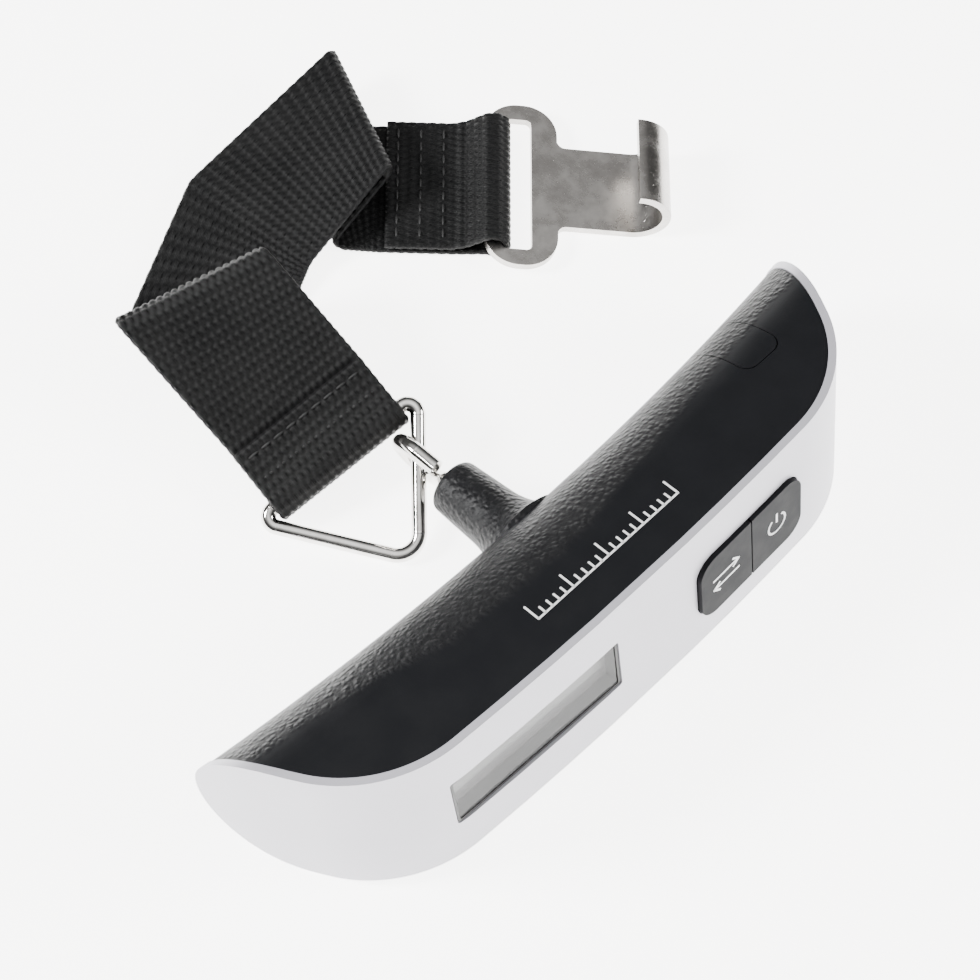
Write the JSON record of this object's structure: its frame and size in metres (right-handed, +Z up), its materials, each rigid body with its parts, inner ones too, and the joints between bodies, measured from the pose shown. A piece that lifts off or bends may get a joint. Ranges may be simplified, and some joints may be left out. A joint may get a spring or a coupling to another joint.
{
  "type": "digital luggage scale",
  "caption": "Digital luggage scale with a crescent-shaped handle, display, push keys, swivel eye, triangle ring, folded webbing strap and a flat metal hook.",
  "frame": {"origin": "middle of the laid-out scale's footprint on the table", "axes": "+X along the handle towards the battery door's end, +Y from the handle towards the strap, +Z up from the table"},
  "size_m": [0.1398, 0.1208, 0.0332],
  "materials": {
    "silver_cover": "satin silver lacquer on moulded plastic",
    "black_shell": "fine leather grain at the rear, satin at the front",
    "key_plastic": "satin",
    "clear_plastic": "clear, lightly smoked",
    "lcd_glass": "grey green reflective display",
    "white_plastic": "matt diffuser",
    "inner_black": "matt",
    "board_green": "solder mask",
    "blob_epoxy": "cast epoxy",
    "switch_red": "matt",
    "pink_rubber": "striped elastomer",
    "cable_red": "flat insulated cable",
    "gauge_film": "polyimide film with a metal grid",
    "cell_alloy": "milled",
    "zinc_steel": "zinc plated",
    "bush_plastic": "acetal",
    "nickel_wire": "bright nickel plate",
    "nickel_sheet": "nickel plated sheet, light scratches",
    "cell_steel": "stainless cell case",
    "spring_brass": "tin plated spring brass",
    "black_webbing": "coarse flat weave"
  },
  "bodies": {
    "handle": {"front_cover": "silver_cover", "housing": "black_shell", "neck_bush": "bush_plastic", "lcd_window": "clear_plastic", "lcd_frame": "inner_black", "lcd_panel": "lcd_glass", "backlight": "white_plastic", "lcd_connector": "pink_rubber", "circuit_board": "board_green", "board_screws": "zinc_steel", "controller_blob": "blob_epoxy", "unit_switch": "inner_black", "power_switch": "inner_black", "load_cell": "cell_alloy", "load_cell_screws": "zinc_steel", "strain_gauges": "gauge_film", "gauge_cable": "cable_red", "battery_holder": "inner_black", "coin_cell": "cell_steel", "positive_contact": "spring_brass", "negative_contact": "spring_brass"},
    "unit_button": {"unit_key": "key_plastic", "unit_plunger": "switch_red"},
    "power_button": {"power_key": "key_plastic", "power_plunger": "switch_red"},
    "door": {"battery_door": "black_shell"},
    "eye": {"swivel_eye": "nickel_wire", "eye_washer": "zinc_steel", "eye_nut": "zinc_steel"},
    "ring": {"triangle_ring": "nickel_wire"},
    "webbing": {"strap": "black_webbing"},
    "sheet_hook": {"hook": "nickel_sheet"}
  },
  "joints": [
    {"name": "unit_key_slide", "type": "slide", "parent": "handle", "child": "unit_button", "axis": [0, 0.9781, -0.2079], "range_m": [0, 0.0005], "stiffness_N_per_m": 2000, "springref_m": -0.0003},
    {"name": "power_key_slide", "type": "slide", "parent": "handle", "child": "power_button", "axis": [0, 0.9781, -0.2079], "range_m": [0, 0.0005], "stiffness_N_per_m": 2000, "springref_m": -0.0003},
    {"name": "battery_door_slide", "type": "slide", "parent": "handle", "child": "door", "axis": [0, 0.9781, -0.2079], "range_m": [0, 0.02]},
    {"name": "eye_swivel", "type": "hinge", "parent": "handle", "child": "eye", "pos_m": [-0.00612, -0.01401, 0.00928], "axis": [0, 0.9781, -0.2079], "continuous": true},
    {"name": "ring_hinge", "type": "hinge", "parent": "eye", "child": "ring", "pos_m": [-0.00626, -0.00774, 0.00782], "axis": [0.6263, 0.6739, 0.3919], "range_deg": [-25, 25]},
    {"name": "strap_hinge", "type": "hinge", "parent": "ring", "child": "webbing", "pos_m": [-0.01537, 0.00182, 0.0075], "axis": [0.9525, -0.1314, 0.2747], "range_deg": [-35, 60]},
    {"name": "hook_hinge", "type": "hinge", "parent": "webbing", "child": "sheet_hook", "pos_m": [0.04247, 0.02383, 0.00328], "axis": [-0.7071, -0.7071, 0], "range_deg": [-20, 90]}
  ]
}
